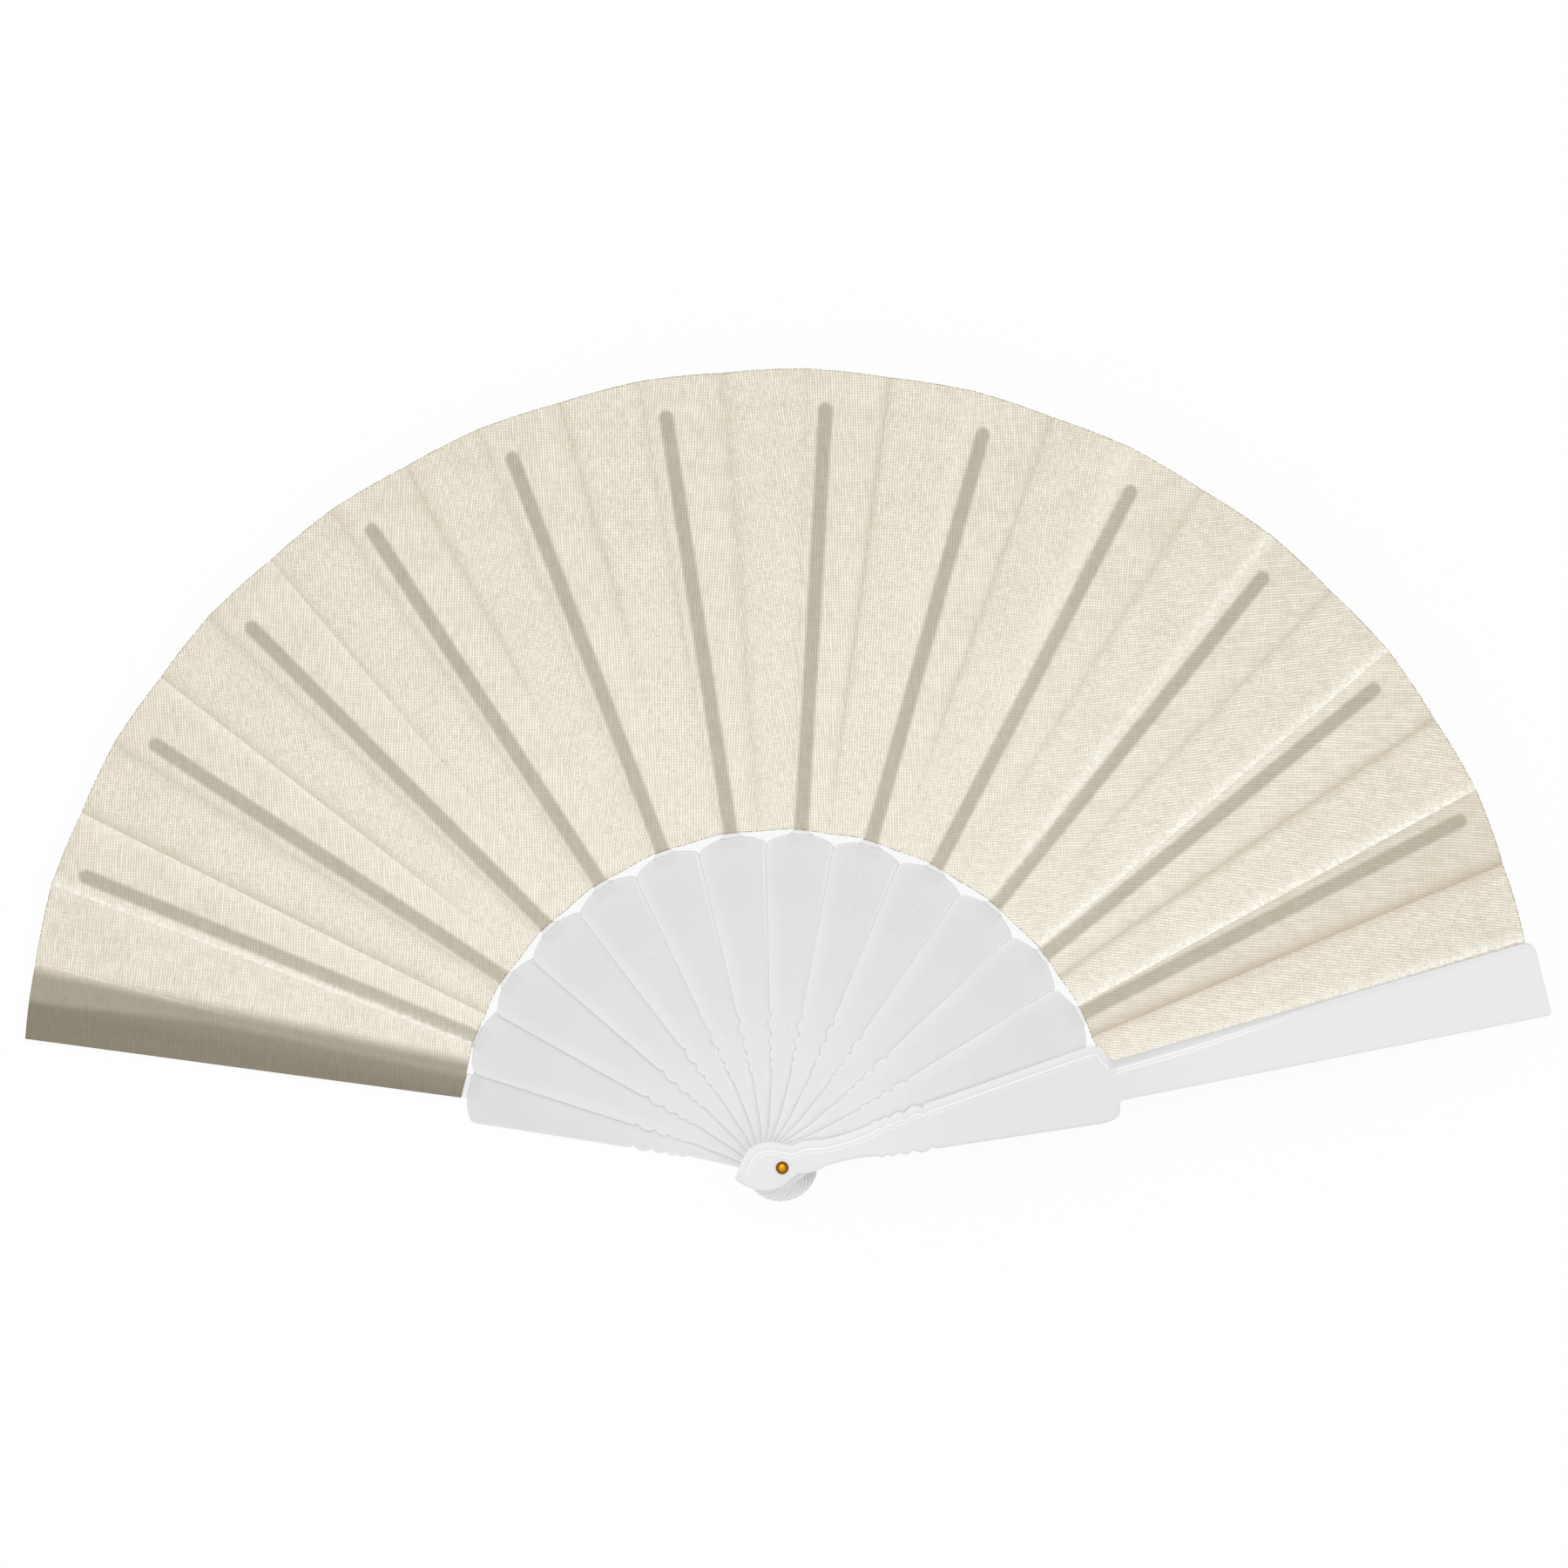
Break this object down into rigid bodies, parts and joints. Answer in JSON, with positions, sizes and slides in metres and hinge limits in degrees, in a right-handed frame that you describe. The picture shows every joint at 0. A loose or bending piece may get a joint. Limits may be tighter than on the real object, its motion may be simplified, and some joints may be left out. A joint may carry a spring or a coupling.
{
  "type": "folding hand fan",
  "caption": "Folding hand fan, open: pleated cloth leaf on slim moulded plastic sticks with beaded edges, held between guards on a brass rivet.",
  "frame": {"origin": "on the rivet's axis, level with the rear guard's outer face, which the fan rests on", "axes": "+Z out of the front guard along the rivet, +Y up the middle of the open fan, +X from the pivot towards the front guard's side"},
  "size_m": [0.4244, 0.2317, 0.0209],
  "materials": {
    "guard_plastic": "white injection-moulded plastic with a soft gloss",
    "stick_plastic": "thin white injection-moulded plastic with a satin gloss",
    "leaf_cloth": "ecru plain-weave polyester cloth, matt",
    "rivet_brass": "polished brass"
  },
  "bodies": {
    "rear_guard": {"rear_guard": "guard_plastic", "rivet": "rivet_brass", "rivet_washer": "rivet_brass", "leaf_panel_00": "leaf_cloth"},
    "stick_01": {"stick_01": "stick_plastic", "leaf_panel_01": "leaf_cloth"},
    "stick_02": {"stick_02": "stick_plastic", "leaf_panel_02": "leaf_cloth"},
    "stick_03": {"stick_03": "stick_plastic", "leaf_panel_03": "leaf_cloth"},
    "stick_04": {"stick_04": "stick_plastic", "leaf_panel_04": "leaf_cloth"},
    "stick_05": {"stick_05": "stick_plastic", "leaf_panel_05": "leaf_cloth"},
    "stick_06": {"stick_06": "stick_plastic", "leaf_panel_06": "leaf_cloth"},
    "stick_07": {"stick_07": "stick_plastic", "leaf_panel_07": "leaf_cloth"},
    "stick_08": {"stick_08": "stick_plastic", "leaf_panel_08": "leaf_cloth"},
    "stick_09": {"stick_09": "stick_plastic", "leaf_panel_09": "leaf_cloth"},
    "stick_10": {"stick_10": "stick_plastic", "leaf_panel_10": "leaf_cloth"},
    "stick_11": {"stick_11": "stick_plastic", "leaf_panel_11": "leaf_cloth"},
    "stick_12": {"stick_12": "stick_plastic", "leaf_panel_12": "leaf_cloth"},
    "front_guard": {"front_guard": "guard_plastic", "leaf_panel_13": "leaf_cloth"},
    "leaf_fold_00": {"leaf_fold_00": "leaf_cloth"},
    "leaf_fold_01": {"leaf_fold_01": "leaf_cloth"},
    "leaf_fold_02": {"leaf_fold_02": "leaf_cloth"},
    "leaf_fold_03": {"leaf_fold_03": "leaf_cloth"},
    "leaf_fold_04": {"leaf_fold_04": "leaf_cloth"},
    "leaf_fold_05": {"leaf_fold_05": "leaf_cloth"},
    "leaf_fold_06": {"leaf_fold_06": "leaf_cloth"},
    "leaf_fold_07": {"leaf_fold_07": "leaf_cloth"},
    "leaf_fold_08": {"leaf_fold_08": "leaf_cloth"},
    "leaf_fold_09": {"leaf_fold_09": "leaf_cloth"},
    "leaf_fold_10": {"leaf_fold_10": "leaf_cloth"},
    "leaf_fold_11": {"leaf_fold_11": "leaf_cloth"},
    "leaf_fold_12": {"leaf_fold_12": "leaf_cloth"}
  },
  "joints": [
    {"name": "front_guard_swing", "type": "hinge", "parent": "rear_guard", "child": "front_guard", "pos_m": [0, 0, 0], "axis": [0, 0, 1], "range_deg": [0, 154]},
    {"name": "stick_01_swing", "type": "hinge", "parent": "rear_guard", "child": "stick_01", "pos_m": [0, 0, 0], "axis": [0, 0, 1], "range_deg": [0, 11.56]},
    {"name": "stick_02_swing", "type": "hinge", "parent": "rear_guard", "child": "stick_02", "pos_m": [0, 0, 0], "axis": [0, 0, 1], "range_deg": [0, 22.95]},
    {"name": "stick_03_swing", "type": "hinge", "parent": "rear_guard", "child": "stick_03", "pos_m": [0, 0, 0], "axis": [0, 0, 1], "range_deg": [0, 34.5]},
    {"name": "stick_04_swing", "type": "hinge", "parent": "rear_guard", "child": "stick_04", "pos_m": [0, 0, 0], "axis": [0, 0, 1], "range_deg": [0, 46.3]},
    {"name": "stick_05_swing", "type": "hinge", "parent": "rear_guard", "child": "stick_05", "pos_m": [0, 0, 0], "axis": [0, 0, 1], "range_deg": [0, 58.29]},
    {"name": "stick_06_swing", "type": "hinge", "parent": "rear_guard", "child": "stick_06", "pos_m": [0, 0, 0], "axis": [0, 0, 1], "range_deg": [0, 70.38]},
    {"name": "stick_07_swing", "type": "hinge", "parent": "rear_guard", "child": "stick_07", "pos_m": [0, 0, 0], "axis": [0, 0, 1], "range_deg": [0, 82.49]},
    {"name": "stick_08_swing", "type": "hinge", "parent": "rear_guard", "child": "stick_08", "pos_m": [0, 0, 0], "axis": [0, 0, 1], "range_deg": [0, 94.54]},
    {"name": "stick_09_swing", "type": "hinge", "parent": "rear_guard", "child": "stick_09", "pos_m": [0, 0, 0], "axis": [0, 0, 1], "range_deg": [0, 106.52]},
    {"name": "stick_10_swing", "type": "hinge", "parent": "rear_guard", "child": "stick_10", "pos_m": [0, 0, 0], "axis": [0, 0, 1], "range_deg": [0, 118.44]},
    {"name": "stick_11_swing", "type": "hinge", "parent": "rear_guard", "child": "stick_11", "pos_m": [0, 0, 0], "axis": [0, 0, 1], "range_deg": [0, 130.31]},
    {"name": "stick_12_swing", "type": "hinge", "parent": "rear_guard", "child": "stick_12", "pos_m": [0, 0, 0], "axis": [0, 0, 1], "range_deg": [0, 142.16]},
    {"name": "crease_00", "type": "hinge", "parent": "rear_guard", "child": "leaf_fold_00", "pos_m": [0, 0, 0.0024], "axis": [0.9656, -0.2602, 0], "range_deg": [0, 171.35], "deforming": ["leaf_fold_00"]},
    {"name": "crease_01", "type": "hinge", "parent": "stick_01", "child": "leaf_fold_01", "pos_m": [0, 0, 0.0036], "axis": [0.8945, -0.447, 0], "range_deg": [0, 171.22], "deforming": ["leaf_fold_01"]},
    {"name": "crease_02", "type": "hinge", "parent": "stick_02", "child": "leaf_fold_02", "pos_m": [0, 0, 0.0048], "axis": [0.7878, -0.616, 0], "range_deg": [0, 171.34], "deforming": ["leaf_fold_02"]},
    {"name": "crease_03", "type": "hinge", "parent": "stick_03", "child": "leaf_fold_03", "pos_m": [0, 0, 0.006], "axis": [0.6468, -0.7626, 0], "range_deg": [0, 171.52], "deforming": ["leaf_fold_03"]},
    {"name": "crease_04", "type": "hinge", "parent": "stick_04", "child": "leaf_fold_04", "pos_m": [0, 0, 0.0072], "axis": [0.4758, -0.8796, 0], "range_deg": [0, 171.66], "deforming": ["leaf_fold_04"]},
    {"name": "crease_05", "type": "hinge", "parent": "stick_05", "child": "leaf_fold_05", "pos_m": [0, 0, 0.0084], "axis": [0.2818, -0.9595, 0], "range_deg": [0, 171.73], "deforming": ["leaf_fold_05"]},
    {"name": "crease_06", "type": "hinge", "parent": "stick_06", "child": "leaf_fold_06", "pos_m": [0, 0, 0.0096], "axis": [0.0744, -0.9972, 0], "range_deg": [0, 171.73], "deforming": ["leaf_fold_06"]},
    {"name": "crease_07", "type": "hinge", "parent": "stick_07", "child": "leaf_fold_07", "pos_m": [0, 0, 0.0108], "axis": [-0.1359, -0.9907, 0], "range_deg": [0, 171.7], "deforming": ["leaf_fold_07"]},
    {"name": "crease_08", "type": "hinge", "parent": "stick_08", "child": "leaf_fold_08", "pos_m": [0, 0, 0.012], "axis": [-0.3392, -0.9407, 0], "range_deg": [0, 171.65], "deforming": ["leaf_fold_08"]},
    {"name": "crease_09", "type": "hinge", "parent": "stick_09", "child": "leaf_fold_09", "pos_m": [0, 0, 0.0132], "axis": [-0.5266, -0.8501, 0], "range_deg": [0, 171.6], "deforming": ["leaf_fold_09"]},
    {"name": "crease_10", "type": "hinge", "parent": "stick_10", "child": "leaf_fold_10", "pos_m": [0, 0, 0.0144], "axis": [-0.6905, -0.7233, 0], "range_deg": [0, 171.57], "deforming": ["leaf_fold_10"]},
    {"name": "crease_11", "type": "hinge", "parent": "stick_11", "child": "leaf_fold_11", "pos_m": [0, 0, 0.0156], "axis": [-0.8244, -0.566, 0], "range_deg": [0, 171.56], "deforming": ["leaf_fold_11"]},
    {"name": "crease_12", "type": "hinge", "parent": "stick_12", "child": "leaf_fold_12", "pos_m": [0, 0, 0.0168], "axis": [-0.922, -0.3871, 0], "range_deg": [0, 174.58], "deforming": ["leaf_fold_12"]}
  ],
  "couplings": [
    {"joint": "stick_01_swing", "follows": "front_guard_swing", "ratio": 0.075057},
    {"joint": "stick_02_swing", "follows": "front_guard_swing", "ratio": 0.14901},
    {"joint": "stick_03_swing", "follows": "front_guard_swing", "ratio": 0.22402},
    {"joint": "stick_04_swing", "follows": "front_guard_swing", "ratio": 0.30061},
    {"joint": "stick_05_swing", "follows": "front_guard_swing", "ratio": 0.37847},
    {"joint": "stick_06_swing", "follows": "front_guard_swing", "ratio": 0.457},
    {"joint": "stick_07_swing", "follows": "front_guard_swing", "ratio": 0.5356},
    {"joint": "stick_08_swing", "follows": "front_guard_swing", "ratio": 0.61388},
    {"joint": "stick_09_swing", "follows": "front_guard_swing", "ratio": 0.69169},
    {"joint": "stick_10_swing", "follows": "front_guard_swing", "ratio": 0.76905},
    {"joint": "stick_11_swing", "follows": "front_guard_swing", "ratio": 0.84612},
    {"joint": "stick_12_swing", "follows": "front_guard_swing", "ratio": 0.92308},
    {"joint": "crease_00", "follows": "front_guard_swing", "ratio": 1.1126},
    {"joint": "crease_01", "follows": "front_guard_swing", "ratio": 1.1118},
    {"joint": "crease_02", "follows": "front_guard_swing", "ratio": 1.1126},
    {"joint": "crease_03", "follows": "front_guard_swing", "ratio": 1.1137},
    {"joint": "crease_04", "follows": "front_guard_swing", "ratio": 1.1146},
    {"joint": "crease_05", "follows": "front_guard_swing", "ratio": 1.1151},
    {"joint": "crease_06", "follows": "front_guard_swing", "ratio": 1.1151},
    {"joint": "crease_07", "follows": "front_guard_swing", "ratio": 1.1149},
    {"joint": "crease_08", "follows": "front_guard_swing", "ratio": 1.1146},
    {"joint": "crease_09", "follows": "front_guard_swing", "ratio": 1.1143},
    {"joint": "crease_10", "follows": "front_guard_swing", "ratio": 1.1141},
    {"joint": "crease_11", "follows": "front_guard_swing", "ratio": 1.114},
    {"joint": "crease_12", "follows": "front_guard_swing", "ratio": 1.1336}
  ]
}
